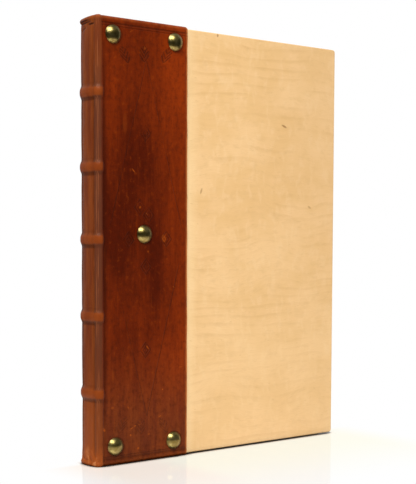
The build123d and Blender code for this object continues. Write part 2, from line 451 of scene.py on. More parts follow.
# %% Place the points of the grid
def skin_point(along, row, side):
    """The place of one point of the skin: row counts up the grid from the tail flap to the head flap."""
    base, outward = section(along)
    on_spine = 1 - soft_step(along, joint_at - mm(2.0), joint_at + mm(0.3))
    from_tail = row - end_count
    from_head = from_tail - len(outer_rows)
    if from_tail < 0:
        depth, rise, share = end_path(along)[-from_tail - 1]
        up = -rise
    elif from_head >= 0:
        depth, rise, share = end_path(along)[from_head]
        up = book_height + rise
    else:
        depth, share = 0, 1
        up = outer_rows[from_tail]
    face_up = min(max(up, edge_radius * 0.4), book_height - edge_radius * 0.4)
    height = relief(along, face_up, side) * share - depth
    backwards = (1 + side * along / joint_at) / 2
    near_head = soft_step(up, book_height - mm(6), book_height - mm(1))
    up += (cap_rise - cap_fall * backwards) * on_spine * near_head
    up += board_lift * (1 - on_spine) * (1 - soft_step(up, 0, mm(3)))
    wander = mm(0.35) * noise.noise(Vector((3.1, side * 2.0, up * 55)))
    place = base + outward * height
    reach = max(along - joint_at, 0) / leather_width
    place.x += wander * reach**12
    return (place.x, place.y if side < 0 else -place.y, up)


print("points ready")

# %% Make the tools for sheets
def finish_mesh(piece, angle):
    """Outward faces and smooth shading, with edges sharper than the angle kept crisp."""
    bpy.ops.object.select_all(action="DESELECT")
    piece.select_set(True)
    bpy.context.view_layer.objects.active = piece
    bpy.ops.object.mode_set(mode="EDIT")
    bpy.ops.mesh.select_all(action="SELECT")
    bpy.ops.mesh.normals_make_consistent(inside=False)
    bpy.ops.object.mode_set(mode="OBJECT")
    bpy.ops.object.shade_smooth_by_angle(angle=math.radians(angle))


def thicken(piece, thickness, offset=0, group=""):
    """Gives a sheet its thickness: to both sides for an offset of 0, and inwards for -1."""
    solid = piece.modifiers.new("thickness", "SOLIDIFY")
    solid.thickness = thickness
    solid.offset = offset
    solid.vertex_group = group
    bpy.context.view_layer.objects.active = piece
    bpy.ops.object.modifier_apply(modifier=solid.name)


def add_grid(column_count, row_count):
    """A flat grid, and the column and the row of each of its vertices."""
    bpy.ops.object.select_all(action="DESELECT")
    bpy.ops.mesh.primitive_grid_add(
        x_subdivisions=column_count - 1, y_subdivisions=row_count - 1, size=1, location=(0, 0, 0))
    grid = bpy.context.object
    flat = np.array([vertex.co[:2] for vertex in grid.data.vertices])
    counts = ((flat + 0.5) * (column_count - 1, row_count - 1)).round().astype(int)
    return grid, counts[:, 0], counts[:, 1]


def standing_sheet(points, low, high):
    """A sheet that stands upright along a line of points seen from above."""
    sheet, column_of, row_of = add_grid(len(points), 2)
    for vertex, column, row in zip(sheet.data.vertices, column_of, row_of):
        vertex.co = (*points[column], high if row else low)
    return sheet


def join_pieces(pieces, name, angle):
    """Makes one piece of several, with its place in its mesh."""
    for piece in pieces:
        piece.select_set(True)
    bpy.context.view_layer.objects.active = pieces[0]
    bpy.ops.object.join()
    bpy.ops.object.transform_apply(location=True, rotation=True, scale=True)
    joined = bpy.context.object
    joined.name = name
    finish_mesh(joined, angle)
    return joined


print("tools ready")

# %% Lay the leather over the book
joint_half = mm(0.31)  # the columns round the joint, where the turned-in flaps are cut away
flap_end = 3  # the rows next to the book's face, which are not cut


def build_skin(side_name):
    side = -1 if side_name == "front" else 1
    row_count = len(outer_rows) + 2 * end_count
    skin, column_of, row_of = add_grid(len(columns), row_count)
    skin.name = f"{side_name}_skin"
    placed = [skin_point(columns[column], row, side) for column, row in zip(column_of, row_of)]
    skin.data.vertices.foreach_set("co", np.array(placed).ravel())
    thin = skin.vertex_groups.new(name="thickness")
    for vertex, column, row in zip(skin.data.vertices, column_of, row_of):
        turned = row < end_count or row >= row_count - end_count
        pared = min(1, (skin_length - columns[column]) / mm(2.6) + 0.28)
        thin.add([vertex.index], (turn_in_share if turned else 1) * pared, "REPLACE")

    # The turned-in flaps are cut away at the joint, or they would be crushed there as the board swings.
    crossing = np.abs(np.array(columns)[column_of] - joint_at) < joint_half
    flap = (row_of < end_count - flap_end) | (row_of >= row_count - end_count + flap_end)
    slit = crossing & flap
    bpy.context.tool_settings.mesh_select_mode = (False, False, True)
    skin.data.vertices.foreach_set("select", [False] * len(skin.data.vertices))
    skin.data.edges.foreach_set("select", [False] * len(skin.data.edges))
    skin.data.polygons.foreach_set("select", [all(slit[list(face.vertices)]) for face in skin.data.polygons])
    bpy.ops.object.mode_set(mode="EDIT")
    bpy.ops.mesh.delete(type="FACE")
    bpy.ops.mesh.select_all(action="SELECT")
    if side < 0:
        bpy.ops.mesh.flip_normals()
    bpy.ops.object.mode_set(mode="OBJECT")
    thicken(skin, skin_thickness, offset=-1, group="thickness")
    finish_mesh(skin, 50)
    return skin


skins = {side: build_skin(side) for side in sides}
print("skin faces", len(skins["front"].data.polygons))

# %% [markdown]
# ## Leather
#
# The skin is vegetable-tanned calf, dyed red-brown, pasted down damp, then waxed and rubbed. Dye sinks in
# unevenly, so the colour drifts between a dark ox-blood and a warm orange brown in long upright clouds. The
# grain is fine pores, hardly raised. The spine is paler and browner, and the dye has rubbed off the edges.
# The tooled lines and small stamps were pressed in with warm brass tools, which darkens the leather. They
# could be painted in a picture, but a picture is only as sharp as its pixels.
# So they are drawn from distances to their lines, in the book's own coordinates.

# %% Work out distances for the tooling
def across_and_up(add):
    """Millimetres from the joint across the board, up the book, and out from its middle plane."""
    whole, x, y, z = coordinates(add)
    across = add("Math", add("Math", x, joint_x, operation="SUBTRACT"), 1000, operation="MULTIPLY")
    up = add("Math", z, 1000, operation="MULTIPLY")
    depth = add("Math", add("Math", y, operation="ABSOLUTE"), 1000, operation="MULTIPLY")
    return whole, across, up, depth


def away_from(add, value, middle):
    """How far a value is from a middle, to either side."""
    return add("Math", add("Math", value, middle, operation="SUBTRACT"), operation="ABSOLUTE")


def squares(add, first, second):
    """The squares of two values, added."""
    return chain(add, "ADD", *(add("Math", value, 2, operation="POWER") for value in (first, second)))


def line_mask(add, distance, width_mm):
    """1 on a line and 0 beside it."""
    beside = add("Math", distance, operation="ABSOLUTE")
    return add("MapRange", beside, width_mm * 0.35, width_mm * 0.75, 1, 0, **smooth)


def strongest(add, masks):
    """The strongest of several masks at each place."""
    return chain(add, "MAXIMUM", *masks)


print("distances ready")

# %% Draw the stamps
def lozenge_distance(add, across, up, middle, half_size):
    """Distance in millimetres from the sides of an upright lozenge, below zero inside it."""
    shares = [add("Math", away_from(add, value, place), half, operation="DIVIDE")
              for value, place, half in zip((across, up), middle, half_size)]
    slope = half_size[0] * half_size[1] / math.hypot(*half_size)
    beyond = add("Math", chain(add, "ADD", *shares), 1, operation="SUBTRACT")
    return add("Math", beyond, slope, operation="MULTIPLY")


def diamond_mask(add, across, up, middle, half_size, line_mm):
    """A small lozenge stamp: an outline, a smaller one inside it and an upright vein."""
    far = lozenge_distance(add, across, up, middle, half_size)
    inside = add("MapRange", far, -0.2, 0.2, 1, 0, **smooth)
    outline = line_mask(add, far, line_mm)
    inner = line_mask(add, add("Math", far, min(half_size) * 0.42, operation="ADD"), line_mm)
    vein = line_mask(add, add("Math", across, middle[0], operation="SUBTRACT"), line_mm * 0.8)
    veined = chain(add, "MULTIPLY", inside, chain(add, "MULTIPLY", vein, 0.6))
    return strongest(add, [outline, inner, veined])


def leaf_mask(add, across, up, middle, half_size, lean, line_mm):
    """A small leaf stamp: slanting veins from a middle rib, inside a leaf-shaped edge."""
    wide = add("Math", across, middle[0], operation="SUBTRACT")
    tall = add("Math", up, middle[1], operation="SUBTRACT")
    leaning = add("Math", wide, add("Math", tall, lean, operation="MULTIPLY"), operation="ADD")
    shares = [add("Math", value, half, operation="DIVIDE") for value, half in zip((leaning, tall), half_size)]
    inside = add("MapRange", squares(add, *shares), 0.75, 1.1, 1, 0, **smooth)
    rib = add("Math", leaning, operation="ABSOLUTE")
    slant = add("Math", add("Math", tall, 0.8, operation="MULTIPLY"), rib, operation="SUBTRACT")
    turns = add("Math", slant, 2 * math.pi / (line_mm * 2.8), operation="MULTIPLY")
    veins = add("MapRange", add("Math", turns, operation="SINE"), -0.4, 0.5, 0.25, 1.0, **smooth)
    return add("Math", inside, veins, operation="MULTIPLY")


# Places and half sizes in millimetres from the joint and from the foot. A leaf has its lean as well.
lozenge = ((36.9, 155.5), (33.2, 123.5))
diamond_half = (4.4, 5.4)
diamonds = [(35.8, 229), (31.0, 178), (38.5, 172.5), (21.5, 155.3), (54.1, 156), (36.3, 136.8), (35.8, 78.4)]
leaf_half = (4.2, 5.6)
leaves = [(18.6, 281.1, 0.5), (34.8, 283.0, 0.0), (54.0, 284.0, -0.5),
          (15.4, 27.0, -0.5), (31.7, 24.7, 0.0), (52.0, 23.4, 0.5)]
stamp_line = 0.9
print(len(diamonds) + len(leaves), "stamps")

# %% Place the wear on the leather
# Flecks where the top of the skin has gone: place from the joint and from the foot, length, width, lean and
# strength.
flecks = [
    (25.7, 203.0, 2.0, 0.4, -0.8, 0.8), (38.0, 147.3, 0.8, 0.7, 0.0, 0.7), (37.6, 80.0, 1.6, 0.7, -0.9, 0.7),
    (67.0, 64.3, 1.6, 0.4, 0.0, 0.5), (50.7, 49.4, 0.6, 0.6, 0.0, 0.9), (7.7, 40.0, 1.2, 1.0, 0.0, 0.35),
    (0.6, 25.4, 1.5, 0.9, -0.9, 0.7), (26.6, 25.6, 0.9, 0.5, 0.3, 0.6), (31.0, 26.3, 1.6, 0.4, 0.1, 0.5),
    (23.8, 24.2, 1.5, 0.4, 0.5, 0.5), (22.8, 19.4, 0.8, 0.8, 0.0, 0.7), (38.4, 18.6, 1.0, 0.7, 0.3, 0.5),
    (29.3, 9.6, 1.0, 0.9, 0.4, 0.55), (48.2, 30.4, 1.5, 0.5, 0.4, 0.6), (20.9, 39.0, 1.2, 0.6, -0.9, 0.35),
    (57.0, 42.0, 1.0, 0.4, 1.3, 0.3), (31.2, 178.0, 1.0, 0.8, 0.7, 0.45), (37.0, 173.5, 1.2, 0.4, -0.8, 0.5),
    (35.2, 287.2, 0.8, 1.0, 0.0, 0.6), (18.6, 235.0, 2.0, 7.0, 0.0, 0.14), (51.8, 156.5, 1.9, 2.6, 0.2, 0.65),
    (54.5, 142.0, 0.7, 0.4, 0.4, 0.35), (60.4, 122.0, 1.0, 0.4, -0.5, 0.4), (44.0, 98.0, 0.6, 0.5, 0.6, 0.3),
    (24.0, 297.5, 1.8, 0.5, 0.5, 0.3), (8.0, 62.0, 1.2, 4.0, 0.0, 0.14),
]


def fleck_mask(add, across, up, left, height, length, width, lean, strength, core=0.2, reach=1.6):
    """A small soft-ended mark, leaning by an angle: full in its core, and gone at its reach."""
    away = add("Math", across, left, operation="SUBTRACT")
    above = add("Math", up, height, operation="SUBTRACT")
    parts = [add("Math", value, share, operation="MULTIPLY")
             for value, share in ((away, math.cos(lean)), (above, math.sin(lean)),
                                  (above, math.cos(lean)), (away, math.sin(lean)))]
    along = add("Math", parts[0], parts[1], operation="ADD")
    beside = add("Math", parts[2], parts[3], operation="SUBTRACT")
    shares = [add("Math", value, half, operation="DIVIDE")
              for value, half in ((along, length), (beside, width))]
    return add("MapRange", squares(add, *shares), core, reach, strength, 0, **smooth)


print(len(flecks), "flecks")

# %% Dye the leather of the boards, and paint the light on it
leather_width_mm = leather_width * 1000
book_height_mm = book_height * 1000
half_thickness_mm = half_thickness * 1000


def leather_patterns(add):
    """The places and the unevenness that all parts of the leather's look are made of."""
    whole, across, up, depth = across_and_up(add)
    skin = SimpleNamespace(whole=whole, across=across, up=up, depth=depth)
    skin.backwards = coordinates(add)[2]
    skin.clouds = grain(add, whole, 24, stretch=(1, 1, 2.4), detail=3, distortion=0.4)
    skin.streaks = grain(add, whole, 4.5, stretch=(1, 1, 9), detail=3)
    skin.fine_streaks = grain(add, whole, 1.1, stretch=(1, 1, 16), detail=2)
    skin.mottle = grain(add, whole, 3.6, stretch=(1, 1, 1.1), detail=4, roughness=0.62)
    skin.rub = grain(add, whole, 5, stretch=(1, 1, 3), detail=5, roughness=0.7)
    skin.from_middle = away_from(add, up, 165)
    skin.on_spine = add("MapRange", across, -1.6, 0.9, 1, 0, **smooth)
    outward = add("MapRange", depth, half_thickness_mm - 0.9, half_thickness_mm - 0.6, **smooth)
    skin.on_face = chain(add, "MULTIPLY", add("MapRange", across, -0.6, 0.2, **smooth), outward)
    return skin


def dye_boards_and_paint_light(add, skin):
    """Dye in clouds, and painted light: dark mid-way by the joint, warmer towards the free edge, head and
    tail.
    """
    near_middle = add("MapRange", away_from(add, skin.up, 212), 25, 75, 16, 0, **smooth)
    rightwards = add("Math", skin.across, near_middle, operation="ADD")
    shares = [add("Math", add("MapRange", value, low, high, **smooth), share, operation="MULTIPLY")
              for value, low, high, share in (
                  (rightwards, 42, 76, 0.46), (skin.from_middle, 25, 115, 0.50),
                  (skin.clouds, 0.35, 0.68, 0.28), (skin.streaks, 0.3, 0.75, 0.22))]
    dye_and_painted_light = add("Math", chain(add, "ADD", *shares), 0.20, operation="SUBTRACT", use_clamp=True)
    cover = lay(add, colour("#501200"), (dye_and_painted_light, "#8c2f00"))
    # Low down the cover turns browner and duller: a painted reflection of the pale table in the leather's
    # sheen.
    brown = lay(add, colour("#602a14"), (add("MapRange", skin.streaks, 0.3, 0.7, **smooth), "#743816"))
    low_down = add("MapRange", skin.up, 12, 95, 0.75, 0, **smooth)
    cover = add("Mix", low_down, cover, brown, data_type="RGBA")
    return lay(
        add, cover,
        (add("MapRange", skin.mottle, 0.46, 0.68, 0, 0.38, **smooth), "#380d00"),
        (add("MapRange", skin.mottle, 0.30, 0.44, 0.20, 0, **smooth), "#a1470a"),
        (add("MapRange", skin.fine_streaks, 0.56, 0.78, 0, 0.11, **smooth), "#b04d08"),
        (add("MapRange", skin.fine_streaks, 0.30, 0.46, 0.14, 0, **smooth), "#3a0e02"))


print("boards' leather: between a dark ox-blood and a warm orange brown")

# %% Dye the leather of the spine
# Painted shade along the crease above and below a band: place from its middle, width and strength.
band_crease_shade = ((-4.7, 2.4, 1.0), (4.9, 1.9, 0.25))
# Pale ridges along the shoulder: place from the middle plane and width.
shoulder_ridges = ((9.05, 0.35), (9.93, 0.22))


def band_masks(add, skin):
    """Painted shade along the crease beside each raised band, and the bands themselves."""
    levels = [level * 1000 for level in band_levels]
    crease_shade = []
    for level in levels:
        for shift, width, strength in band_crease_shade:
            crease = line_mask(add, add("Math", skin.up, level + shift, operation="SUBTRACT"), width)
            crease_shade.append(add("Math", crease, strength, operation="MULTIPLY"))
    on_bands = [add("MapRange", away_from(add, skin.up, level), 2.2, 3.6, 1, 0, **smooth) for level in levels]
    return strongest(add, crease_shade), strongest(add, on_bands)


def fold_shade_masks(add, skin):
    """Painted shade in the hollows of the folds at head and foot."""
    around = add("Math", skin.backwards, -1000, operation="MULTIPLY")
    hollows = []
    for end, folds in ((book_height_mm, head_folds), (0, foot_folds)):
        for start, low, stop, high, half_width, depth in folds:
            hollows.append(fleck_mask(
                add, around, skin.up, (start + stop) / 2, end + (low + high) / 2,
                math.hypot(stop - start, high - low) / 2, half_width * 0.9,
                math.atan2(high - low, stop - start), depth))
    return strongest(add, hollows)


def dye_spine(add, skin):
    """Paler and browner, with upright streaks, and painted shade along the crease by each band."""
    spine = lay(
        add, colour("#6c2d0e"),
        (add("MapRange", skin.streaks, 0.3, 0.7, **smooth), "#813e15"),
        (add("MapRange", skin.fine_streaks, 0.5, 0.72, 0, 0.2, **smooth), "#3a1404"),
        (add("MapRange", skin.up, 4, 95, 0.55, 0, **smooth), "#9c4a14"))
    crease_shade, on_bands = band_masks(add, skin)
    off_bands = add("Math", 1, add("Math", on_bands, 0.9, operation="MULTIPLY"), operation="SUBTRACT")
    smudge = grain(add, skin.whole, 3.2, stretch=(1, 1, 3.5), detail=4, roughness=0.6)
    groove = chain(
        add, "MULTIPLY", add("MapRange", skin.depth, 4.8, 7.0, **smooth),
        add("MapRange", skin.depth, 7.6, 8.4, 1, 0, **smooth),
        add("MapRange", smudge, 0.3, 0.6, 0.3, 0.85, **smooth),
        add("MapRange", skin.up, 262, 292, 1.0, 0.25, **smooth), 0.6, off_bands)
    low_or_high = chain(
        add, "MULTIPLY", add("MapRange", skin.up, 35, 90, 0.5, 0.85, **smooth),
        add("MapRange", skin.up, 255, 285, 1.0, 0.3, **smooth))
    between = chain(
        add, "MULTIPLY", add("MapRange", skin.depth, 7.0, 8.0, **smooth),
        add("MapRange", smudge, 0.3, 0.6, 0.75, 1.0, **smooth), low_or_high, off_bands)
    ridges = strongest(add, [line_mask(add, add("Math", skin.depth, place, operation="SUBTRACT"), width)
                             for place, width in shoulder_ridges])
    bright = add("MapRange", skin.fine_streaks, 0.35, 0.60, 0.0, 0.55, **smooth)
    ridges = chain(add, "MULTIPLY", ridges, bright, off_bands)
    # The dark lines by the bands and the dark hollows of the folds laid here are painted shade.
    return lay(
        add, spine,
        (add("Math", on_bands, 0.45, operation="MULTIPLY"), "#8f3f10"),
        (add("Math", crease_shade, 0.5, operation="MULTIPLY"), "#2e0f04"),
        (groove, "#401c0c"), (between, "#593021"), (ridges, "#9c5c38"), (fold_shade_masks(add, skin), "#2e0f06"))


print("spine leather: handled, paler and browner")

# %% Wear and tool the leather
def edge_wear(add, skin):
    """Where the dye has rubbed off: at the ends of the book."""
    low_end = add("MapRange", skin.up, 0.3, 3.6, 1, 0, **smooth)
    high_end = add("MapRange", skin.up, book_height_mm - 3.0, book_height_mm + 0.2, **smooth)
    foot = chain(add, "MULTIPLY", add("MapRange", skin.up, 2, 16, 0.9, 0, **smooth), skin.on_spine)
    ends = add("Math", strongest(add, [low_end, high_end]), 0.5, operation="MULTIPLY")
    ends = strongest(add, [ends, foot])
    worn = chain(add, "MULTIPLY", ends, add("MapRange", skin.rub, 0.32, 0.62, 0.25, 1.0, **smooth))
    bare = chain(add, "MULTIPLY", foot, add("MapRange", skin.rub, 0.52, 0.64, 0, 0.9, **smooth))
    return worn, bare


def joint_and_edge(add, skin):
    """The frayed free edge, and the dark line in the joint."""
    frayed = chain(
        add, "MULTIPLY",
        add("MapRange", skin.across, leather_width_mm - 2.9, leather_width_mm - 1.1, **smooth),
        add("MapRange", skin.rub, 0.36, 0.54, 0.35, 1.0, **smooth),
        add("MapRange", skin.up, 130, 260, 1.0, 0.75, **smooth))
    in_joint = chain(
        add, "MULTIPLY", add("MapRange", skin.across, 0.2, 0.7, **smooth),
        add("MapRange", skin.across, 1.0, 4.5, 0.55, 0, **smooth),
        add("MapRange", skin.from_middle, 95, 150, 1, 0.25, **smooth))
    return frayed, in_joint


def scuff_mask(add, skin):
    """A few scuffs where the top of the skin has gone."""
    field = grain(add, skin.whole, 2.6, stretch=(1, 1, 1.3), detail=5, roughness=0.75)
    scuffs = chain(
        add, "MULTIPLY", add("MapRange", field, 0.67, 0.73, **smooth),
        add("MapRange", skin.up, 20, 60, 0.8, 0.35, **smooth), 0.6)
    marks = chain(
        add, "MULTIPLY", strongest(add, [fleck_mask(add, skin.across, skin.up, *fleck) for fleck in flecks]),
        add("MapRange", skin.mottle, 0.38, 0.58, 0.4, 1.0, **smooth), skin.on_face)
    return strongest(add, [scuffs, marks])


def tooling_mask(add, skin):
    """Blind tooling: the border's groove is in the mesh, and is only darkened here."""
    near = tool_width * 500
    # The border's lines: place, width and strength of each.
    lines = [(skin.across, border_joint_inset * 1000 + near, 1.6, 0.25),
             (skin.across, leather_width_mm - border_side_inset * 1000 - near, 1.0, 0.45),
             (skin.up, border_inset * 1000 + near, 1.6, 0.8),
             (skin.up, book_height_mm - border_inset * 1000 - near, 1.2, 1.0)]
    distances = [add("Math", value, place, operation="SUBTRACT") for value, place, _, _ in lines]
    border = strongest(add, [
        add("Math", line_mask(add, distance, width), strength, operation="MULTIPLY")
        for distance, (_, _, width, strength) in zip(distances, lines)])
    inner = strongest(add, [
        line_mask(add, add("Math", distance, shift, operation="ADD"), 0.8)
        for distance, shift in zip(distances[2:], (-1.7, 1.7))])
    border = strongest(add, [add("Math", border, 0.7, operation="MULTIPLY"),
                             add("Math", inner, 0.55, operation="MULTIPLY")])
    border = chain(add, "MULTIPLY", border, skin.on_face)
    tall = line_mask(add, lozenge_distance(add, skin.across, skin.up, *lozenge), 0.7)
    faint = add("MapRange", grain(add, skin.whole, 30, detail=2), 0.4, 0.6, 0.15, 0.6, **smooth)
    tall = chain(add, "MULTIPLY", tall, skin.on_face, faint)
    faded = add("MapRange", grain(add, skin.whole, 7, detail=2), 0.35, 0.6, 0.25, 0.7, **smooth)
    stamps = [diamond_mask(add, skin.across, skin.up, middle, diamond_half, stamp_line)
              for middle in diamonds]
    stamps = chain(add, "MULTIPLY", strongest(add, stamps), faded)
    pressed = [leaf_mask(add, skin.across, skin.up, middle, leaf_half, lean, stamp_line)
               for *middle, lean in leaves]
    pressed = chain(add, "MULTIPLY", strongest(add, pressed),
                    add("MapRange", skin.up, 60, 200, 0.45, 0.8, **smooth))
    stamps = chain(add, "MULTIPLY", strongest(add, [stamps, pressed]), skin.on_face)
    return strongest(add, [border, tall, stamps])


print("wear and tooling ready")

# %% Make the leather
pore_size = mm(0.8)  # real pores are finer, and would not show
rim_reach = 6.6


def make_leather():
    """Waxed calf: a soft sheen that is duller where the dye is rubbed, and pores that hardly show."""
    material, add, shader = new_material("waxed_calf_leather")
    skin = leather_patterns(add)
    worn, bare = edge_wear(add, skin)
    frayed, in_joint = joint_and_edge(add, skin)
    tooled = tooling_mask(add, skin)
    # Under the rim of each nail, a little to the right and below, the leather is in its shade.
    round_nails = strongest(add, [
        fleck_mask(add, skin.across, skin.up, nail_across * 1000 + 0.3, nail_up * 1000 - 0.4,
                   rim_reach, rim_reach, 0, 0.85)
        for nail_across, nail_up in nail_places])
    base = add("Mix", skin.on_spine, dye_boards_and_paint_light(add, skin), dye_spine(add, skin), data_type="RGBA")
    base = lay(
        add, base, (worn, "#a8521c"), (bare, "#c8804c"), (frayed, "#cf7a3c"), (in_joint, "#350d05"),
        (scuff_mask(add, skin), "#b5540f"), (add("Math", tooled, 0.6, operation="MULTIPLY"), "#2a0b03"),
        (add("Math", round_nails, skin.on_face, operation="MULTIPLY"), "#240a03"))
    rough = chain(
        add, "ADD", 0.36, add("Math", skin.mottle, 0.24, operation="MULTIPLY"),
        add("Math", worn, 0.2, operation="MULTIPLY"))

    pores = add("TexVoronoi", named={"Vector": skin.whole, "Scale": 1 / pore_size, "Randomness": 0.9})
    shares = [add("Math", value, share, operation="MULTIPLY")
              for value, share in ((add("MapRange", pores, 0.1, 0.55, **smooth), 0.14), (skin.mottle, 0.45),
                                   (skin.fine_streaks, 0.2), (tooled, 0.9))]
    height = add("Math", chain(add, "ADD", *shares[:3]), shares[3], operation="SUBTRACT")
    bump = add("Bump", named={"Strength": 0.7, "Distance": mm(0.4), "Height": height})
    fill(shader, {
        "Base Color": base, "Roughness": rough, "Coat Weight": 0.05, "Coat Roughness": 0.18,
        "Specular IOR Level": 0.2, "Specular Tint": colour("#ffb48a"), "Normal": bump})
    return material


leather = make_leather()
print("leather made of", len(leather.node_tree.nodes), "nodes")

# %% [markdown]
# ## Wood
#
# The boards are bare maple or birch, quarter-sawn thin and planed. The grain runs across the book, from the
# spine to the fore-edge. Planed maple is pale and even: long faint growth lines, short darker flecks and a
# soft ripple that catches the light. Blender has a wave texture that draws such lines, but it keeps them
# evenly apart. Here the height is bent by a slow noise and cut into rings, so that they wander and crowd.

# %% Make the boards' wood
ring_pitch = mm(7.5)
# Small knocks and pin knots: place from the joint and from the foot, length, half width, lean and strength.
wood_marks = [(168.3, 241.8, 2.6, 0.8, -0.35, 0.8), (87.1, 190.6, 2.2, 0.8, 1.2, 0.55),
              (195.7, 180.7, 1.8, 0.8, -0.5, 0.45), (102.0, 303.2, 1.2, 0.8, 1.5, 0.7)]


def growth_lines(add, whole, z):
    """The dark edges of the growth rings, bent most at one level, and the noise that bends them."""
    warp = grain(add, whole, 34, stretch=(1.9, 1, 1), detail=2, roughness=0.35)
    from_knot = add("Math", add("Math", z, mm(150), operation="SUBTRACT"), mm(42), operation="DIVIDE")
    swirl = add("Math", add("Math", from_knot, 2, operation="POWER"), 1, operation="ADD")
    bend = add("Math", add("Math", 4.5, swirl, operation="DIVIDE"), 1.4, operation="ADD")
    rings = add("Math", z, ring_pitch, operation="DIVIDE")
    field = add("Math", rings, add("Math", warp, bend, operation="MULTIPLY"), operation="ADD")
    ring = add("Math", field, operation="FRACT")
    lines = chain(
        add, "MULTIPLY", add("MapRange", ring, 0.5, 0.86, **smooth),
        add("MapRange", ring, 0.90, 1.0, 1, 0, **smooth))
    return lines, warp


def wood_shades(add, x, z):
    """Paler by the leather and low down, painted highlight at the leather's edge, greyed by the fore-edge."""
    from_joint = add("Math", x, joint_x, operation="SUBTRACT")
    wide = chain(
        add, "MULTIPLY",
        add("MapRange", from_joint, leather_width, leather_width + mm(14), 0.7, 0, **smooth),
        add("MapRange", z, mm(150), mm(300), 1.0, 0.5, **smooth))
    low_down = add("MapRange", z, 0, mm(200), 0.28, 0, **smooth)
    # A thin strip on the wood right along the leather's edge is a painted highlight.
    close = add("MapRange", from_joint, leather_width + mm(0.5), leather_width + mm(2.5), 0.9, 0, **smooth)
    greyed = chain(
        add, "MULTIPLY", add("MapRange", from_joint, mm(110), mm(220), **smooth),
        add("MapRange", z, mm(60), mm(260), 0.35, 1, **smooth), 0.30)
    return strongest(add, [wide, low_down, close]), greyed


def make_maple(name):
    """Maple: planed and bare, so it is satin, with fibres that are only just felt."""
    material, add, shader = new_material(name)
    whole, x, y, z = coordinates(add)
    lines, warp = growth_lines(add, whole, z)
    bent_z = add("Math", z, add("Math", warp, 0.03, operation="MULTIPLY"), operation="ADD")
    bent = add("CombineXYZ", x, y, bent_z).outputs["Vector"]
    fibres = grain(add, bent, 0.5, stretch=(16, 3, 1), detail=3)
    short_flecks = grain(add, bent, 0.8, stretch=(6, 2, 1), detail=2)
    cloud = grain(add, whole, 26, stretch=(1.5, 1, 1), detail=3, roughness=0.5)
    figure = grain(add, bent, 3.6, stretch=(2.6, 1, 1), detail=4, roughness=0.6, distortion=0.5)
    ripple = grain(add, whole, 5.5, stretch=(0.9, 1, 1.8), detail=2, distortion=0.6)
    patches = grain(add, whole, 22, stretch=(1.6, 1, 0.8), detail=2)
    lines = chain(add, "MULTIPLY", lines, add("MapRange", patches, 0.42, 0.66, 0.12, 1.0, **smooth), 0.19)
    paler, greyed = wood_shades(add, x, z)
    across, up = across_and_up(add)[1:3]
    marks = [fleck_mask(add, across, up, *mark, core=0.1, reach=1.8) for mark in wood_marks]
    base = lay(
        add, colour("#edc387"),
        (add("MapRange", cloud, 0.35, 0.65, **smooth), "#f5cd95"),
        (add("MapRange", ripple, 0.48, 0.72, 0, 0.30, **smooth), "#fad8a6"),
        (add("MapRange", figure, 0.30, 0.50, 0.24, 0, **smooth), "#dbb077"),
        (lines, "#c8904c"), (paler, "#ffe0aa"), (greyed, "#d9b27e"),
        (add("MapRange", short_flecks, 0.66, 0.80, 0, 0.30, **smooth), "#c8975a"),
        (add("MapRange", fibres, 0.42, 0.75, 0, 0.14, **smooth), "#cfa065"),
        *((mark, "#a06a34") for mark in marks))
    rough = add("Math", 0.46, add("Math", figure, 0.14, operation="MULTIPLY"), operation="ADD")
    bump = add("Bump", named={"Strength": 0.3, "Distance": mm(0.08), "Height": fibres})
    fill(shader, {"Base Color": base, "Roughness": rough, "Specular IOR Level": 0.3, "Normal": bump})
    return material


maple = make_maple("planed_maple")
peg_wood = make_maple("whittled_maple_peg")
print("maple made")

# %% [markdown]
# ## Brass, paper, thread and cord
#
# The nail heads are stamped brass, aged greenish, rubbed bright on top and waxed with the leather. The pages
# are rag paper, whose cut edges show as fine lines. The endbands are wound with two colours of silk, and the
# cords are twisted linen. Pictures of the real stuffs would do for such small pieces too, but noise of the
# right size in millimetres needs no files, has no seams and stays sharp from near by.

# %% Make the brass
def make_brass():
    """Stamped brass: smooth and mirror-like, with tarnish that dulls it in patches, under a film of wax."""
    material, add, shader = new_material("aged_brass")
    whole = coordinates(add)[0]
    tarnish = grain(add, whole, 3.0, detail=4, roughness=0.6)
    specks = grain(add, whole, 0.6, detail=3)
    base = lay(
        add, colour("#8a7a3c"), (add("MapRange", tarnish, 0.35, 0.7, **smooth), "#b0a065"),
        (add("MapRange", specks, 0.60, 0.75, 0, 0.35, **smooth), "#4a4326"))
    rough = add("Math", 0.24, add("Math", tarnish, 0.14, operation="MULTIPLY"), operation="ADD")
    bump = add("Bump", named={"Strength": 0.3, "Distance": mm(0.015), "Height": specks})
    fill(shader, {
        "Base Color": base, "Metallic": 1.0, "Roughness": rough, "Coat Weight": 0.35, "Coat Roughness": 0.22,
        "Normal": bump})
    return material


brass = make_brass()
print("brass made")

# %% Make the papers
page_half = turn_in_inner - mm(0.3)


def make_paper(name, pale, dark, edge_lines=False):
    """Rag paper: matte, softly mottled, with short fibres."""
    material, add, shader = new_material(name)
    whole, _, y, _ = coordinates(add)
    mottle = grain(add, whole, 14, detail=4, roughness=0.6)
    height = grain(add, whole, 0.8, stretch=(2, 1, 1), detail=3)
    base = lay(add, colour(dark), (add("MapRange", mottle, 0.3, 0.7, **smooth), pale))
    if edge_lines:
        height = grain(add, whole, 0.16, stretch=(90, 1, 90), detail=2)
        far = add("Math", y, operation="ABSOLUTE")
        inside = add("MapRange", far, page_half - mm(0.3), page_half - mm(0.15), 1, 0, **smooth)
        lines = chain(add, "MULTIPLY", add("MapRange", height, 0.45, 0.7, 0, 0.5, **smooth), inside)
        base = lay(add, base, (lines, "#a8906a"))
    bump = add("Bump", named={"Strength": 0.4, "Distance": mm(0.1), "Height": height})
    fill(shader, {"Base Color": base, "Roughness": 0.9, "Specular IOR Level": 0.2, "Normal": bump})
    return material


pages_paper = make_paper("rag_paper_leaves", "#efe4c8", "#e6d8b6", edge_lines=True)
lining_paper = make_paper("lining_paper", "#ecdfc0", "#e4d5b0")
print("papers made")

